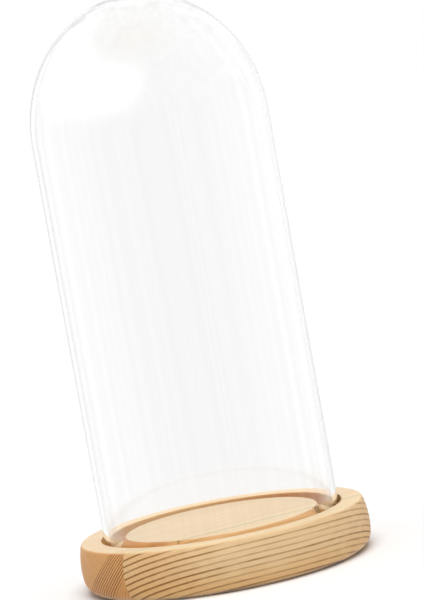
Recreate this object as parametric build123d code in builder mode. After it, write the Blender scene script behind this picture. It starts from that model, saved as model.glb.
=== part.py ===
from build123d import *
from math import radians, sin
import os

# Bell jar: a blown glass dome that stands loose in the turned groove of a round wooden base.
# The base is turned from a blank of two pine boards glued edge to edge.
# Millimetres, +Z up. The origin is the centre of the base's underside, which rests on the table.
# The glued joint crosses the base at an angle, so that the boards' end grain faces front left.

# Base, as turned
BASE_HEIGHT = 26.0
BELLY_RADIUS = 75.0  # halfway up the barrel-shaped side, the widest part
EDGE_RADIUS = 73.0  # where the side would meet the top and the underside if they were sharp
TOP_EDGE_ROUND = 1.8
BOTTOM_EDGE_ROUND = 8.5

# Groove that locates the dome, between the rim and the raised display disc
GROOVE_DEPTH = 6.0
GROOVE_OUTER_RADIUS = 62.3
GROOVE_INNER_RADIUS = 53.8  # at the floor
DISC_RADIUS = 49.6  # the disc's side flares out to the groove's floor
LIP_BEVEL = 0.6  # on the rim's and the disc's edges
CORNER_ROUND = 0.8

# The glued joint is upright and lies this far in front of the axis
GRAIN_ANGLE = 27.5  # of the boards' length from +X, anticlockwise seen from above
JOINT_DISTANCE = 24.0

# Glass dome
GLASS_RADIUS = 60.8
GLASS_WALL = 2.6
GLASS_HEIGHT = 278.0
CROWN_RISE = 68.5  # height of the rounded crown, a little more than a half sphere's
GLASS_LIP_ROUND = 1.25  # fire-polished lip

groove_floor = BASE_HEIGHT - GROOVE_DEPTH
glass_top = groove_floor + GLASS_HEIGHT
crown_foot = glass_top - CROWN_RISE
glass_inner_radius = GLASS_RADIUS - GLASS_WALL


def corners(sketch, *points):
    """The corners of a section that lie at these (radius, height) points."""
    return [v for v in sketch.vertices() for r, z in points if abs(v.X - r) + abs(v.Y - z) < 0.01]


def crown_curve(radius, rise):
    """Half of the crown's outline: upright where it leaves the wall, level on the axis."""
    haunch = (radius * sin(radians(45)), crown_foot + rise * sin(radians(45)))
    Spline((radius, crown_foot), haunch, (0, crown_foot + rise), tangents=((0, 1), (-1, 0)))


def save(builder, name):
    """Labels a finished piece and writes its STEP file."""
    builder.part.label = name
    export_step(builder.part, f"parts/{name}.step")


os.makedirs("parts", exist_ok=True)

# The joint's plane, and the plane square to it through the axis that the base's half section is drawn on
toward_front = Vector(0, -1, 0).rotate(Axis.Z, GRAIN_ANGLE)
joint = Plane(origin=toward_front * JOINT_DISTANCE, z_dir=toward_front)
base_section = Plane(origin=(0, 0, 0), x_dir=toward_front, z_dir=toward_front.cross(Vector(0, 0, 1)))

# The base as it leaves the lathe
top_edge = (EDGE_RADIUS, BASE_HEIGHT)
bottom_edge = (EDGE_RADIUS, 0)
belly = (BELLY_RADIUS, BASE_HEIGHT / 2)
rim_lip = (GROOVE_OUTER_RADIUS, BASE_HEIGHT)
outer_corner = (GROOVE_OUTER_RADIUS, groove_floor)
inner_corner = (GROOVE_INNER_RADIUS, groove_floor)
disc_lip = (DISC_RADIUS, BASE_HEIGHT)

with BuildPart() as turned_base:
    with BuildSketch(base_section) as profile:
        with BuildLine():
            Polyline(top_edge, rim_lip, outer_corner, inner_corner, disc_lip, (0, BASE_HEIGHT), (0, 0), bottom_edge)
            ThreePointArc(bottom_edge, belly, top_edge)
        make_face()
        fillet(corners(profile, top_edge), TOP_EDGE_ROUND)
        fillet(corners(profile, bottom_edge), BOTTOM_EDGE_ROUND)
        chamfer(corners(profile, rim_lip, disc_lip), LIP_BEVEL)
        fillet(corners(profile, outer_corner, inner_corner), CORNER_ROUND)
    revolve(axis=Axis.Z)

# The two boards of the base, told apart at the glued joint
with BuildPart() as front_board:
    add(turned_base.part)
    split(bisect_by=joint, keep=Keep.TOP)

with BuildPart() as rear_board:
    add(turned_base.part)
    split(bisect_by=joint, keep=Keep.BOTTOM)

save(front_board, "base_board_front")
save(rear_board, "base_board_rear")

# The dome: a straight wall from the lip that stands in the groove, and a rounded crown
lip_outer = (GLASS_RADIUS, groove_floor)
lip_inner = (glass_inner_radius, groove_floor)

with BuildPart() as dome:
    with BuildSketch(Plane.XZ) as wall:
        with BuildLine():
            Polyline((GLASS_RADIUS, crown_foot), lip_outer, lip_inner, (glass_inner_radius, crown_foot))
            crown_curve(glass_inner_radius, CROWN_RISE - GLASS_WALL)
            Line((0, glass_top - GLASS_WALL), (0, glass_top))
            crown_curve(GLASS_RADIUS, CROWN_RISE)
        make_face()
        fillet(corners(wall, lip_outer, lip_inner), GLASS_LIP_ROUND)
    revolve(axis=Axis.Z)

save(dome, "glass_dome")
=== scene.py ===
"""Bell jar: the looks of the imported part. Metres, +Z up, the row frame's origin under the base's centre."""

import math
import random

import bmesh
import bpy
from mathutils import Matrix, Vector, noise


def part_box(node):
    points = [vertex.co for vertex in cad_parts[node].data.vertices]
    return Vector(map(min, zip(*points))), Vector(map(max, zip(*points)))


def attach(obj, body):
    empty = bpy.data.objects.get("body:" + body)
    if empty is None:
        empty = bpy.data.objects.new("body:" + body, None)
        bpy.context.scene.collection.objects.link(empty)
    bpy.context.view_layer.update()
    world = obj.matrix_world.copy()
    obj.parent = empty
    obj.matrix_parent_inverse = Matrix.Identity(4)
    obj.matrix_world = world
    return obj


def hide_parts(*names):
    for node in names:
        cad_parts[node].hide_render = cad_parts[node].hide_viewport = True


MM = 0.001

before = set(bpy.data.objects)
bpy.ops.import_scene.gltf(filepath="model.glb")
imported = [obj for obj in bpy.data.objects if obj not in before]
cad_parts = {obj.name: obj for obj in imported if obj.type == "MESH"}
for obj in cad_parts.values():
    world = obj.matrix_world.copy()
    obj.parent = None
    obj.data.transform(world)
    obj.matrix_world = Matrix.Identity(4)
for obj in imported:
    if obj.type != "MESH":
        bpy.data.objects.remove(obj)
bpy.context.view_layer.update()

# Sizes of the turned base and of the glass, in metres. The outer ones come from the frame.
rear_low, rear_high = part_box("base_board_rear")
front_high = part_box("base_board_front")[1]
glass_low, glass_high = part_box("glass_dome")
BASE_HEIGHT = rear_high.z
BELLY_RADIUS = max(front_high.x, rear_high.x, -rear_low.x)
EDGE_RADIUS = BELLY_RADIUS - 2.0 * MM
TOP_ROUND = 1.8 * MM
BOTTOM_ROUND = 8.5 * MM
GROOVE_FLOOR = glass_low.z
GROOVE_OUTER_RADIUS = 62.3 * MM
GROOVE_INNER_RADIUS = 53.8 * MM
DISC_RADIUS = 49.6 * MM
LIP_ROUND = 0.7 * MM
CORNER_ROUND = 0.8 * MM
GRAIN_ANGLE = math.radians(27.5)
JOINT_DISTANCE = 24.0 * MM
GLASS_RADIUS = glass_high.x
GLASS_WALL = 2.6 * MM
GLASS_TOP = glass_high.z
CROWN_RISE = 68.5 * MM
GROOVE_MIDDLE_RADIUS = 58.0 * MM

# Where the cutter tore the end grain of the groove's walls: centre and reach in millimetres
TORN_SPOTS = (((62, 4, 25), 10.0), ((50, -14, 25), 8.0), ((-21.6, -45.3, 25.4), 2.5))
SPLINTER_COUNTS = (34, 40, 6)  # one for each torn spot
TEAR_DEPTH = 0.9 * MM
TEAR_COARSE, TEAR_FINE = 900, 2300  # how often the torn surface's noise turns, per metre

TURNS = 720  # facets round the base
GLASS_TURNS = 288
SPIKE_SIDES = 5


# ---------------------------------------------------------------- outlines


def rounded(points, steps=6):
    """An outline of (radius, height) points with each corner of (radius, height, round) replaced by an arc."""
    out = []
    last = len(points) - 1
    for i, point in enumerate(points):
        corner = Vector(point[:2])
        size = point[2] if len(point) > 2 else 0.0
        if not size or i in (0, last):
            out.append(corner)
            continue
        back = (Vector(points[i - 1][:2]) - corner).normalized()
        ahead = (Vector(points[i + 1][:2]) - corner).normalized()
        half = back.angle(ahead) / 2
        reach = size / math.tan(half)
        centre = corner + (back + ahead).normalized() * (size / math.sin(half))
        start = corner + back * reach - centre
        end = corner + ahead * reach - centre
        for k in range(steps + 1):
            out.append(centre + start.slerp(end, k / steps).normalized() * size)
    return out


def subdivided(points, longest):
    """The outline with its long stretches cut into pieces no longer than longest."""
    out = [points[0]]
    for a, b in zip(points, points[1:]):
        parts = max(1, math.ceil((b - a).length / longest))
        out += [a.lerp(b, k / parts) for k in range(1, parts + 1)]
    return out


def side_outline(steps=28):
    """The barrel-shaped side from the underside's round up to the top edge's, as one smooth curve."""
    half = BASE_HEIGHT / 2
    swell = BELLY_RADIUS - EDGE_RADIUS
    arc_radius = (half * half + swell * swell) / (2 * swell)
    arc_centre = Vector((BELLY_RADIUS - arc_radius, half))
    rounds = []
    for size, height, away in ((BOTTOM_ROUND, BOTTOM_ROUND, -1), (TOP_ROUND, BASE_HEIGHT - TOP_ROUND, 1)):
        reach = arc_radius - size
        rise = height - half
        centre = Vector((arc_centre.x + math.sqrt(reach * reach - rise * rise), height))
        meet = math.atan2(centre.y - arc_centre.y, centre.x - arc_centre.x)
        rounds.append((centre, size, meet, away * math.pi / 2))
    (low_centre, low_size, low_meet, low_end), (top_centre, top_size, top_meet, top_end) = rounds

    def sweep(centre, size, start, end, count):
        angles = [start + (end - start) * k / count for k in range(count + 1)]
        return [centre + Vector((math.cos(a), math.sin(a))) * size for a in angles]

    points = sweep(low_centre, low_size, low_end, low_meet, 12)
    points += sweep(arc_centre, arc_radius, low_meet, top_meet, steps)[1:]
    return points + sweep(top_centre, top_size, top_meet, top_end, 8)[1:]


def base_outline():
    """The turned base's outline, from the centre of the underside round to the centre of the disc."""
    top = BASE_HEIGHT
    inside = rounded(
        [
            (EDGE_RADIUS - TOP_ROUND - 1 * MM, top),
            (GROOVE_OUTER_RADIUS, top, LIP_ROUND),
            (GROOVE_OUTER_RADIUS, GROOVE_FLOOR, CORNER_ROUND),
            (GROOVE_INNER_RADIUS, GROOVE_FLOOR, CORNER_ROUND),
            (DISC_RADIUS, top, LIP_ROUND),
            (DISC_RADIUS - 3 * MM, top),
        ]
    )
    side = side_outline()
    outline = [Vector((2 * MM, 0.0)), Vector((side[0].x * 0.6, 0.0))] + side + subdivided(inside, 1.2 * MM)
    return outline + [Vector((r * MM, top)) for r in (38, 30, 22, 14, 7, 2)]


def crown(radius, rise, foot, steps=40):
    """A quarter of the crown's ellipse, from the straight wall up to just off the axis."""
    angles = [math.radians(90) * k / steps for k in range(steps)]
    return [Vector((radius * math.cos(a), foot + rise * math.sin(a))) for a in angles]


# ---------------------------------------------------------------- meshes


def lathe(outline, turns):
    """A bmesh turned from an outline about Z, and its rings. Its ends are left open, for fan() to close."""
    bm = bmesh.new()
    rings = []
    for point in outline:
        ring = []
        for k in range(turns):
            a = math.tau * k / turns
            ring.append(bm.verts.new((point.x * math.cos(a), point.x * math.sin(a), point.y)))
        rings.append(ring)
    for low, high in zip(rings, rings[1:]):
        for k in range(turns):
            n = (k + 1) % turns
            bm.faces.new((low[k], low[n], high[n], high[k]))
    return bm, rings


def fan(bm, ring, height, upward):
    """Closes a ring round the axis with triangles to a middle point."""
    middle = bm.verts.new((0, 0, height))
    turns = len(ring)
    for k in range(turns):
        n = (k + 1) % turns
        bm.faces.new((ring[k], ring[n], middle) if upward else (ring[n], ring[k], middle))


def finish_mesh(bm, name, sharp_degrees=35):
    """Turns a bmesh into an object in the scene, smooth apart from edges over sharp_degrees."""
    mesh = bpy.data.meshes.new(name)
    bmesh.ops.recalc_face_normals(bm, faces=bm.faces[:])
    bm.to_mesh(mesh)
    bm.free()
    mesh.shade_smooth()
    mesh.set_sharp_from_angle(angle=math.radians(sharp_degrees))
    piece = bpy.data.objects.new(name, mesh)
    bpy.context.scene.collection.objects.link(piece)
    return piece


def toward_front(angle):
    """The level direction square to boards that lie at this angle, pointing out of the base's front."""
    return Vector((math.sin(angle), -math.cos(angle), 0))


def tear(bm):
    """Pits the groove's outer wall and the disc's flare where the end grain tore out."""
    for vert in bm.verts:
        reach = math.hypot(vert.co.x, vert.co.y)
        walls = DISC_RADIUS - 1 * MM < reach < GROOVE_OUTER_RADIUS + 0.9 * MM
        if not walls or vert.co.z < GROOVE_FLOOR + 0.3 * MM:
            continue
        for centre, size in TORN_SPOTS:
            near = 1 - (vert.co - Vector(centre) * MM).length / (size * MM)
            if near > 0:
                rough = max(0.0, noise.noise(vert.co * TEAR_COARSE) + 0.35 * noise.noise(vert.co * TEAR_FINE))
                side = 1 if reach > GROOVE_MIDDLE_RADIUS else -1
                push = side * rough * min(1.0, 2 * near) * TEAR_DEPTH / reach
                vert.co.x += vert.co.x * push
                vert.co.y += vert.co.y * push


def splinters():
    """Torn fibres standing off the groove's walls and floor, each a thin bent spike."""
    draw = random.Random(7)
    bm = bmesh.new()
    outer, middle, inner, disc, top, floor = (
        size / MM
        for size in (
            GROOVE_OUTER_RADIUS, GROOVE_MIDDLE_RADIUS, GROOVE_INNER_RADIUS, DISC_RADIUS, BASE_HEIGHT, GROOVE_FLOOR
        )
    )
    for (centre, size), count in zip(TORN_SPOTS, SPLINTER_COUNTS):
        reach = math.hypot(centre[0], centre[1])
        for _ in range(count):
            angle = math.atan2(centre[1], centre[0]) + draw.gauss(0, 0.4) * size / reach
            out = Vector((math.cos(angle), math.sin(angle), 0))
            if reach > middle:
                root = out * outer + Vector((0, 0, draw.uniform(23.4, 25.6)))
                way = Vector((0, 0, 0.4)) - out
            else:
                radius = draw.uniform(49.9, 52.4)
                slope = (top - floor) / (inner - disc)
                root = out * radius + Vector((0, 0, top - slope * (radius - disc)))
                way = Vector((0, 0, 0.3)) + out
            way = (way + Vector((draw.gauss(0, 0.5), draw.gauss(0, 0.5), draw.gauss(0, 0.4)))).normalized()
            spike(bm, root * MM, way * MM * draw.uniform(0.5, 1.1), draw.uniform(0.14, 0.32) * MM)
    return finish_mesh(bm, "torn_fibres", sharp_degrees=80)


def spike(bm, root, reach, width):
    """A five-sided spike from just inside the surface at root to root + reach."""
    side = reach.orthogonal().normalized()
    other = reach.normalized().cross(side)
    turns = [k * math.tau / SPIKE_SIDES for k in range(SPIKE_SIDES)]
    corners = [side * math.cos(t) + other * math.sin(t) for t in turns]
    rings = []
    for step in (-0.3, 0.4, 0.8):
        thin = width * (1 - 0.55 * max(0.0, step))
        rings.append([bm.verts.new(root + reach * step + corner * thin) for corner in corners])
    tip = bm.verts.new(root + reach)
    for low, high in zip(rings, rings[1:]):
        for k in range(SPIKE_SIDES):
            n = (k + 1) % SPIKE_SIDES
            bm.faces.new((low[k], low[n], high[n], high[k]))
    for k in range(SPIKE_SIDES):
        bm.faces.new((rings[-1][k], rings[-1][(k + 1) % SPIKE_SIDES], tip))
    bm.faces.new(rings[0][::-1])


def base_boards():
    """The two boards of the base: one turned blank, cut at the glued joint."""
    across = toward_front(GRAIN_ANGLE)
    boards = []
    for name, clear_outer in (("front_board", False), ("rear_board", True)):
        bm, rings = lathe(base_outline(), TURNS)
        fan(bm, rings[0], 0.0, upward=False)
        fan(bm, rings[-1], BASE_HEIGHT, upward=True)
        tear(bm)
        bmesh.ops.bisect_plane(
            bm,
            geom=bm.verts[:] + bm.edges[:] + bm.faces[:],
            plane_co=across * JOINT_DISTANCE,
            plane_no=across,
            clear_outer=clear_outer,
            clear_inner=not clear_outer,
        )
        rim = [e for e in bm.edges if e.is_boundary]
        bmesh.ops.holes_fill(bm, edges=rim)
        boards.append(finish_mesh(bm, name))
    return boards


def glass_dome():
    """The blown dome as one closed wall: outside up, inside down, joined by the rounded lip."""
    foot = GLASS_TOP - CROWN_RISE
    inner_radius = GLASS_RADIUS - GLASS_WALL
    lip = GLASS_WALL / 2
    lip_centre = Vector((GLASS_RADIUS - lip, GROOVE_FLOOR + lip))
    lip_angles = [math.pi * k / 12 for k in range(13)]
    outline = [lip_centre + Vector((-math.cos(a), -math.sin(a))) * lip for a in lip_angles]
    wall_low = GROOVE_FLOOR + 3 * MM
    wall_heights = [wall_low + (foot - wall_low) * k / 40 for k in range(40)]
    outer = [Vector((GLASS_RADIUS, z)) for z in wall_heights]
    outer += crown(GLASS_RADIUS, CROWN_RISE, foot)
    inner = [Vector((inner_radius, z)) for z in wall_heights]
    inner += crown(inner_radius, CROWN_RISE - GLASS_WALL, foot)
    bm, rings = lathe(list(reversed(inner)) + outline + outer, GLASS_TURNS)
    fan(bm, rings[0], GLASS_TOP - GLASS_WALL, upward=False)
    fan(bm, rings[-1], GLASS_TOP, upward=True)
    return finish_mesh(bm, "glass_bell", sharp_degrees=60)


# ---------------------------------------------------------------- materials


class Nodes:
    """A short way to write a node tree: each call adds a node and links its inputs."""

    def __init__(self, name):
        self.material = bpy.data.materials.new(name)
        self.material.use_nodes = True
        self.tree = self.material.node_tree
        self.shader = self.tree.nodes["Principled BSDF"]
        self.output = self.tree.nodes["Material Output"]

    @classmethod
    def of(cls, tree):
        nodes = cls.__new__(cls)
        nodes.tree = tree
        return nodes

    def put(self, kind, inputs, **settings):
        node = self.tree.nodes.new(kind)
        for key, value in settings.items():
            setattr(node, key, value)
        for key, value in inputs.items():
            self.join(value, node.inputs[key])
        return node

    def join(self, value, socket):
        if isinstance(value, bpy.types.NodeSocket):
            self.tree.links.new(value, socket)
        else:
            socket.default_value = value

    def math(self, operation, a, b=0.0, c=0.0):
        return self.put("ShaderNodeMath", {0: a, 1: b, 2: c}, operation=operation).outputs[0]

    def vector(self, operation, a, b=(0, 0, 0)):
        node = self.put("ShaderNodeVectorMath", {0: a, 1: b}, operation=operation)
        return node.outputs["Value" if operation in ("LENGTH", "DOT_PRODUCT") else "Vector"]

    def noise(self, where, scale, detail=2.0, roughness=0.5):
        inputs = {"Vector": where, "Scale": scale, "Detail": detail, "Roughness": roughness}
        return self.put("ShaderNodeTexNoise", inputs).outputs["Fac"]

    def ramp(self, factor, stops, interpolation="LINEAR"):
        node = self.put("ShaderNodeValToRGB", {"Fac": factor})
        ramp = node.color_ramp
        ramp.interpolation = interpolation
        while len(ramp.elements) < len(stops):
            ramp.elements.new(0.5)
        for element, (position, colour) in zip(ramp.elements, stops):
            element.position = position
            element.color = (*colour, 1.0)
        return node.outputs["Color"]

    def span(self, value, low, high, to_low=0.0, to_high=1.0):
        inputs = {"Value": value, "From Min": low, "From Max": high, "To Min": to_low, "To Max": to_high}
        return self.put("ShaderNodeMapRange", inputs, interpolation_type="SMOOTHSTEP").outputs["Result"]

    def mix(self, factor, a, b, blend="MIX"):
        node = self.put("ShaderNodeMix", {}, data_type="RGBA", blend_type=blend)
        self.join(factor, node.inputs[0])
        self.join(a, node.inputs[6])
        self.join(b, node.inputs[7])
        return node.outputs[2]


def grey(value):
    return (value, value, value, 1.0)


def pine(name, early, late, end_grain, ring_angle, pith_s, pith_z, tilt, spacing, start, line):
    """Varnished pine as a solid of growth rings about a pith line outside the board.

    ring_angle is the pith line's direction, pith_s and pith_z its place in millimetres across the boards
    and up, tilt its rise per millimetre, and spacing and start the rings' pitch and phase in millimetres.
    line says how the late wood looks: its strength and how that varies from year to year, its share of a
    ring's width, how far it wanders and frays in millimetres, and its strength on the top and on the ends.
    Each of its fades changes the strength between two ring radii, and band is a broad pale ring on the top.
    """
    n = Nodes(name)
    place = n.put("ShaderNodeTexCoord", {}).outputs["Object"]
    mm = n.vector("MULTIPLY", place, (1000, 1000, 1000))
    grain = Vector((math.cos(ring_angle), math.sin(ring_angle), 0))
    along = n.vector("DOT_PRODUCT", mm, grain)
    across = n.vector("DOT_PRODUCT", mm, toward_front(ring_angle))
    height = n.vector("DOT_PRODUCT", mm, (0, 0, 1))
    up = n.math("MULTIPLY_ADD", along, -tilt, height)
    board = n.put("ShaderNodeCombineXYZ", {"X": along, "Y": across, "Z": up}).outputs[0]

    # Rings, bent a little by slow noise that runs along the board
    slow = n.vector("MULTIPLY", board, (0.006, 0.03, 0.03))
    bend = n.math("MULTIPLY_ADD", n.noise(slow, 1.0, 2.0), 2 * line["wander"], -line["wander"])
    from_pith = {"Y": n.math("SUBTRACT", across, pith_s), "Z": n.math("SUBTRACT", up, pith_z)}
    offset = n.put("ShaderNodeCombineXYZ", from_pith)
    radius = n.math("ADD", n.vector("LENGTH", offset.outputs[0]), bend)
    fine = n.vector("MULTIPLY", board, (0.05, 0.9, 0.9))
    radius = n.math("MULTIPLY_ADD", n.noise(fine, 1.0, 2.0), line["fray"], radius)
    rings = n.math("DIVIDE", n.math("SUBTRACT", radius, start), spacing)
    phase = n.math("FRACT", rings)
    year = n.put("ShaderNodeTexWhiteNoise", {"W": n.math("FLOOR", rings)}, noise_dimensions="1D").outputs["Value"]
    width = line["width"]
    stops = ((0.0, 0.75), (0.05, 0.0), (1 - 1.7 * width, 0.03), (1 - width, 0.8), (1.0, 1.0))
    late_wood = n.ramp(phase, [(position, (value,) * 3) for position, value in stops], "EASE")
    strength = n.math("MULTIPLY", late_wood, n.math("MULTIPLY_ADD", year, line["vary"], line["strength"]))
    for low, high, before, after in line["fades"]:
        strength = n.math("MULTIPLY", strength, n.span(radius, low, high, before, after))
    patchy = n.noise(n.vector("MULTIPLY", board, (0.05, 0.2, 0.2)), 1.0, 2.0)
    strength = n.math("MULTIPLY", strength, n.span(patchy, 0.25, 0.75, 0.7, 1.25))
    normal = n.put("ShaderNodeNewGeometry", {}).outputs["Normal"]
    endness = n.vector("DOT_PRODUCT", normal, grain)
    ends = n.span(n.math("ABSOLUTE", endness), 0.35, 0.95)
    facing = n.span(endness, -0.3, 0.3, 1.25 * line["ends"], 0.4 * line["ends"])
    strength = n.math("MULTIPLY", strength, n.math("MULTIPLY_ADD", ends, facing, 1.0))

    # The lines are a little stronger towards the foot of the side
    foot = n.span(height, 2.0, 17.0, 1.0, 0.0)
    strength = n.math("MULTIPLY", strength, n.math("MULTIPLY_ADD", foot, 0.3, 0.92))

    # On the flat top the rings run out at a shallow angle, so only the band where one surfaces stays dark
    upward = n.vector("DOT_PRODUCT", normal, (0, 0, 1))
    topness = n.span(upward, 0.55, 0.97)
    fading = n.math("MULTIPLY_ADD", n.span(upward, 0.1, 1.0), line["top"] - 1, 1)
    strength = n.math("MULTIPLY", strength, fading)

    # Fibres, resin canals and slow drifts of colour along the board
    fibre = n.noise(n.vector("MULTIPLY", board, (0.12, 5.0, 5.0)), 1.0, 3.0, 0.6)
    canal = n.noise(n.vector("MULTIPLY", board, (0.35, 3.4, 3.4)), 1.0, 1.0, 0.4)
    canals = n.span(canal, 0.68, 0.76)
    drift = n.noise(n.vector("MULTIPLY", board, (0.012, 0.045, 0.045)), 1.0, 2.0)

    colour = n.mix(strength, (*early, 1), (*late, 1))
    if "band" in line:
        inner, outer = line["band"]
        edge = (outer - inner) / 4
        band = n.math("MULTIPLY", n.span(radius, inner, inner + edge), n.span(radius, outer - edge, outer, 1.0, 0.0))
        band = n.math("MULTIPLY", n.math("MULTIPLY", band, topness), 0.42)
        colour = n.mix(band, colour, (0.47, 0.4, 0.23, 1))
    warm = n.mix(n.span(drift, 0.3, 0.75), grey(1.0), (0.97, 0.93, 0.88, 1))
    colour = n.mix(1.0, colour, warm, "MULTIPLY")
    colour = n.mix(1.0, colour, n.mix(fibre, grey(0.9), grey(1.09)), "MULTIPLY")
    stripe = n.noise(n.vector("MULTIPLY", board, (0.015, 0.45, 0.45)), 1.0, 2.0)
    stripes = n.mix(n.span(stripe, 0.3, 0.7), (0.965, 0.945, 0.92, 1), (1.02, 1.03, 1.04, 1))
    colour = n.mix(1.0, colour, stripes, "MULTIPLY")
    colour = n.mix(n.math("MULTIPLY", canals, 0.25), colour, (*late, 1))

    # Painted sheen: the flat top is made paler and creamier, standing in for light from above and the varnish's sheen
    colour = n.mix(topness, colour, n.mix(1.0, colour, (1.09, 1.21, 1.33, 1), "MULTIPLY"))
    # Painted shade: the foot of the side is made more golden and darker, where less light reaches it
    colour = n.mix(foot, colour, n.mix(1.0, colour, (0.99, 0.9, 0.7, 1), "MULTIPLY"))

    # The walls of the groove stay more orange, as end grain does, and dark where the cutter tore the end grain; the
    # side walls carry painted light and the disc's flare painted shade
    outward = n.vector("LENGTH", n.vector("MULTIPLY", mm, (1, 1, 0)))
    above = n.span(height, 18.0, 19.0)
    groove = n.math("MULTIPLY", n.span(outward, 63.0, 63.6, 1.0, 0.0), above)
    groove = n.math("MULTIPLY", groove, n.math("SUBTRACT", 1.0, topness))
    # Painted light: the groove's side walls, shaded in the narrow gap, are made paler
    side_walls_painted_light = n.span(n.math("ABSOLUTE", n.vector("DOT_PRODUCT", mm, (1, 0, 0))), 52.0, 60.0)
    wall = n.mix(side_walls_painted_light, (0.93, 0.56, 0.23, 1), (0.95, 0.72, 0.44, 1))
    # The disc's flare is darker orange: partly its end grain, partly painted shade of the recess
    wall = n.mix(n.span(outward, 57.0, 58.0), (0.78, 0.42, 0.17, 1), wall)
    colour = n.mix(n.math("MULTIPLY", groove, 0.85), colour, n.mix(strength, wall, (*late, 1)))
    flecks = n.noise(n.vector("MULTIPLY", board, (0.5, 1.1, 1.1)), 1.0, 3.0, 0.7)
    for centre, reach in TORN_SPOTS:
        near = n.span(n.vector("LENGTH", n.vector("SUBTRACT", mm, centre)), 0.4 * reach, reach, 1.0, 0.0)
        near = n.math("MULTIPLY", n.math("MULTIPLY", near, n.span(flecks, 0.47, 0.56)), groove)
        colour = n.mix(n.math("MULTIPLY", near, 0.85), colour, (0.2, 0.115, 0.035, 1))

    # End grain drinks more varnish, so it is darker and more orange
    colour = n.mix(n.math("MULTIPLY", ends, 0.85), colour, n.mix(1.0, colour, (*end_grain, 1), "MULTIPLY"))
    pores = n.noise(n.vector("MULTIPLY", board, (0.4, 7.0, 7.0)), 1.0, 2.0, 0.7)
    speckle = n.math("MULTIPLY", ends, n.span(pores, 0.45, 0.7, 0.0, 0.22))
    colour = n.mix(speckle, colour, (*[c * 0.55 for c in late], 1))

    n.join(colour, n.shader.inputs["Base Color"])
    rough = n.math("MULTIPLY_ADD", fibre, 0.14, 0.42)
    n.join(n.math("MULTIPLY_ADD", ends, 0.08, rough), n.shader.inputs["Roughness"])
    n.join(1.5, n.shader.inputs["IOR"])
    n.join(0.3, n.shader.inputs["Specular IOR Level"])
    n.join(0.06, n.shader.inputs["Coat Weight"])
    n.join(0.35, n.shader.inputs["Coat Roughness"])
    relief = n.math("MULTIPLY_ADD", strength, 0.15, n.math("MULTIPLY", fibre, 0.35))
    relief = n.math("SUBTRACT", relief, n.math("MULTIPLY", speckle, 1.5))
    bump = n.put("ShaderNodeBump", {"Height": relief, "Strength": 0.35, "Distance": 0.00012})
    n.join(bump.outputs["Normal"], n.shader.inputs["Normal"])
    return n.material


def torn_grain():
    """The loose fibres: darker and duller than the sanded wood."""
    n = Nodes("torn_grain")
    place = n.put("ShaderNodeTexCoord", {}).outputs["Object"]
    tone = n.noise(n.vector("MULTIPLY", place, (800, 800, 800)), 1.0, 2.0)
    colour = n.mix(n.span(tone, 0.35, 0.65), (0.11, 0.055, 0.015, 1), (0.5, 0.3, 0.1, 1))
    n.join(colour, n.shader.inputs["Base Color"])
    n.join(0.75, n.shader.inputs["Roughness"])
    return n.material


def clear_glass():
    """Clear blown glass: smooth, faintly grey-green where it is thick."""
    n = Nodes("clear_glass")
    n.join((1.0, 1.0, 1.0, 1), n.shader.inputs["Base Color"])
    n.join(1.0, n.shader.inputs["Transmission Weight"])
    n.join(1.47, n.shader.inputs["IOR"])
    n.join(0.0, n.shader.inputs["Roughness"])
    depth = n.put("ShaderNodeVolumeAbsorption", {"Color": (0.74, 0.775, 0.75, 1), "Density": 14.0})
    n.join(depth.outputs[0], n.output.inputs["Volume"])
    return n.material


def plain(name, colour, roughness):
    n = Nodes(name)
    n.join((*colour, 1), n.shader.inputs["Base Color"])
    n.join(roughness, n.shader.inputs["Roughness"])
    n.join(0.0, n.shader.inputs["Specular IOR Level"])
    return n.material


# ---------------------------------------------------------------- camera, light and floor


def add_camera():
    """The photograph's view: a long lens a little above the base, rolled so that the dome leans left."""
    distance = 1.6
    pitch = math.radians(4.86)
    roll = math.radians(10.2)
    aim = Vector((15.29 * MM, 0, 137.5 * MM))
    back = Vector((0, -math.cos(pitch), math.sin(pitch)))
    camera = bpy.data.objects.new("camera", bpy.data.cameras.new("camera"))
    bpy.context.scene.collection.objects.link(camera)
    camera.data.sensor_fit = "VERTICAL"
    camera.data.sensor_height = 36
    camera.data.lens = 188.322
    level = back.to_track_quat("Z", "Y").to_matrix().to_4x4()
    camera.matrix_world = Matrix.Translation(aim + back * distance) @ level @ Matrix.Rotation(-roll, 4, "Z")
    camera.data.clip_end = 50
    bpy.context.scene.camera = camera


def add_sun(name, source, strength, spread):
    """A wide soft light from far away. source points from the object to it; spread is its size in degrees."""
    data = bpy.data.lights.new(name, "SUN")
    data.energy = strength
    data.angle = math.radians(spread)
    lamp = bpy.data.objects.new(name, data)
    bpy.context.scene.collection.objects.link(lamp)
    lamp.visible_transmission = False
    lamp.visible_glossy = False
    lamp.matrix_world = Vector(source).to_track_quat("Z", "Y").to_matrix().to_4x4()


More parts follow.
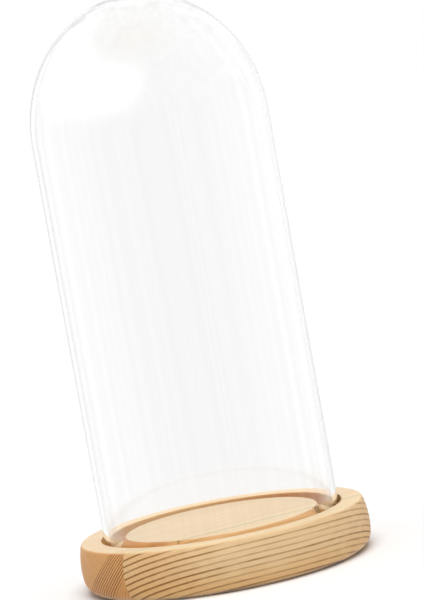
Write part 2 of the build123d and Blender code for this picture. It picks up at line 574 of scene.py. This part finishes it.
def add_world():
    """A white cove: white to look at, softer as fill, and darker with one soft glow in reflections."""
    world = bpy.data.worlds.new("studio")
    bpy.context.scene.world = world
    world.use_nodes = True
    n = Nodes.of(world.node_tree)
    ray = n.put("ShaderNodeLightPath", {}).outputs
    toward = n.put("ShaderNodeTexCoord", {}).outputs["Generated"]
    front = n.vector("DOT_PRODUCT", toward, (0, -1, 0))
    reflected = n.mix(n.span(front, -0.5, 1.0), (1.0, 1.0, 1.0, 1), (0.6, 0.6, 0.59, 1))
    streaks = n.noise(n.vector("MULTIPLY", toward, (16, 16, 0.8)), 1.0, 2.0, 0.6)
    reflected = n.mix(1.0, reflected, n.mix(n.span(streaks, 0.35, 0.65), grey(0.8), grey(1.25)), "MULTIPLY")
    height = n.vector("DOT_PRODUCT", toward, (0, 0, 1))
    zenith = n.mix(n.span(height, 0.6, 1.0), grey(1.0), (0.84, 0.84, 0.81, 1))
    reflected = n.mix(1.0, reflected, zenith, "MULTIPLY")
    left = n.vector("DOT_PRODUCT", toward, Vector((-0.85, -0.25, 0.45)).normalized())
    box = n.math("MULTIPLY", n.span(height, 0.06, 0.72), n.span(height, 0.58, 0.92, 1.0, 0.0))
    box = n.math("MULTIPLY", box, n.span(left, 0.28, 0.88))
    outside = n.math("LESS_THAN", ray["Transmission Depth"], 2.5)
    reflected = n.mix(n.math("MULTIPLY", box, outside), reflected, (3.9, 3.9, 3.85, 1))
    seen = n.mix(n.math("GREATER_THAN", ray["Glossy Depth"], 0.5), (1.0, 1.0, 1.0, 1), reflected)
    fill = n.mix(n.math("GREATER_THAN", ray["Transmission Depth"], 0.5), (0.5, 0.505, 0.51, 1), (0.97, 0.96, 0.94, 1))
    seen = n.mix(n.math("GREATER_THAN", ray["Diffuse Depth"], 0.5), seen, fill)
    n.join(seen, n.tree.nodes["Background"].inputs["Color"])
    world.cycles.sampling_method = "NONE"


def add_floor():
    """A pale floor that takes the contact shadow and stays out of reflections."""
    bm = bmesh.new()
    bmesh.ops.create_circle(bm, cap_ends=True, segments=96, radius=6.0)
    floor = finish_mesh(bm, "floor")
    floor.data.materials.append(plain("floor_white", (0.84, 0.84, 0.84), 0.9))
    floor.visible_glossy = False
    floor.visible_transmission = False


# ---------------------------------------------------------------- the scene

front_board, rear_board = base_boards()
front_board.data.materials.append(
    pine(
        "pine_front",
        early=(0.755, 0.53, 0.3),
        late=(0.3, 0.155, 0.045),
        end_grain=(1.0, 0.9, 0.74),
        ring_angle=math.radians(25),
        pith_s=94.0,
        pith_z=-168.2,
        tilt=-0.0035,
        spacing=2.93,
        start=-0.45,
        line={
            "strength": 0.5, "vary": 0.4, "width": 0.19, "wander": 0.7, "fray": 0.16, "top": 0.12, "ends": 1.2,
            "band": (202.9, 204.7),
            "fades": (),
        },
    )
)
rear_board.data.materials.append(
    pine(
        "pine_rear",
        early=(0.715, 0.49, 0.285),
        late=(0.2, 0.08, 0.01),
        end_grain=(0.9, 0.63, 0.31),
        ring_angle=GRAIN_ANGLE,
        pith_s=-64.0,
        pith_z=100.0,
        tilt=0.0,
        spacing=1.4,
        start=0.41,
        line={
            "strength": 1.0, "vary": 0.9, "width": 0.2, "wander": 0.5, "fray": 0.06, "top": 0.1, "ends": 0.5,
            "fades": (
                (107.2, 109.2, 0.08, 1.0),
                (113.6, 114.6, 1.0, 0.45),
                (115.4, 116.4, 1.0, 2.2),
                (121.5, 124.0, 1.0, 0.15),
            ),
        },
    )
)
fibres = splinters()
fibres.data.materials.append(torn_grain())
glass = glass_dome()
glass.data.materials.append(clear_glass())
glass.visible_shadow = False

for piece, node, body, slot in (
    (front_board, "base_board_front", "base", "pine_front"),
    (rear_board, "base_board_rear", "base", "pine_rear"),
    (glass, "glass_dome", "dome", "clear_glass"),
):
    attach(piece, body)
    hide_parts(node)

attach(fibres, "base")

add_floor()
add_world()
add_sun("key", (0.05, -0.28, 1.0), 2.38, 50)
add_camera()
bpy.context.scene.view_settings.view_transform = "Standard"
